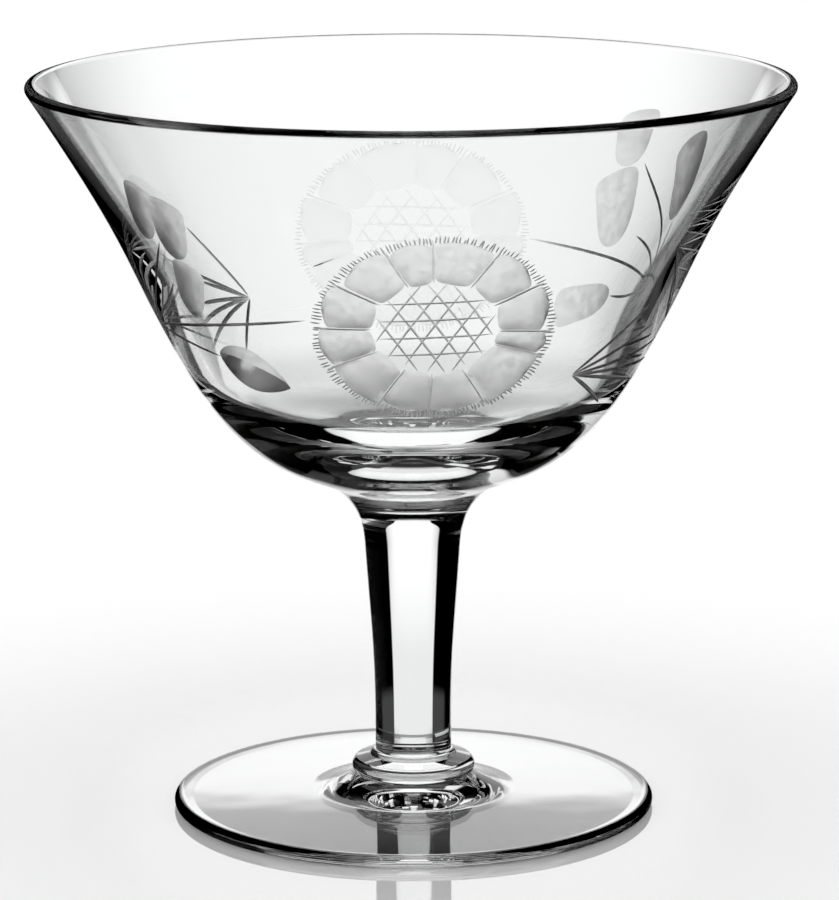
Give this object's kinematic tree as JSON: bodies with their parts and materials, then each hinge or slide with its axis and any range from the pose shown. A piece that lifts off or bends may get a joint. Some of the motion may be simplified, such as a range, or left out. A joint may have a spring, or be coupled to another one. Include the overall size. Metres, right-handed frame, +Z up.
{
  "type": "sherbet glass",
  "caption": "Footed sherbet glass in clear glass: a flared bowl with wheel-cut flowers on a solid stem, a stepped collar and a disc foot, for serving sherbet, dessert or drinks.",
  "frame": {"origin": "centre of the circle that the foot stands on", "axes": "+Z up along the axis of the glass; the front flower of the decoration faces -Y"},
  "size_m": [0.105, 0.105, 0.102],
  "materials": {
    "bowl_glass": "clear blown glass, fire-polished, with grey wheel cuts outside",
    "stem_glass": "clear drawn glass, fire-polished",
    "collar_glass": "clear glass, tooled hot",
    "foot_glass": "clear cast glass, fire-polished edge"
  },
  "bodies": {
    "root": {"bowl": "bowl_glass", "stem": "stem_glass", "foot_collar": "collar_glass", "foot": "foot_glass"}
  },
  "joints": []
}
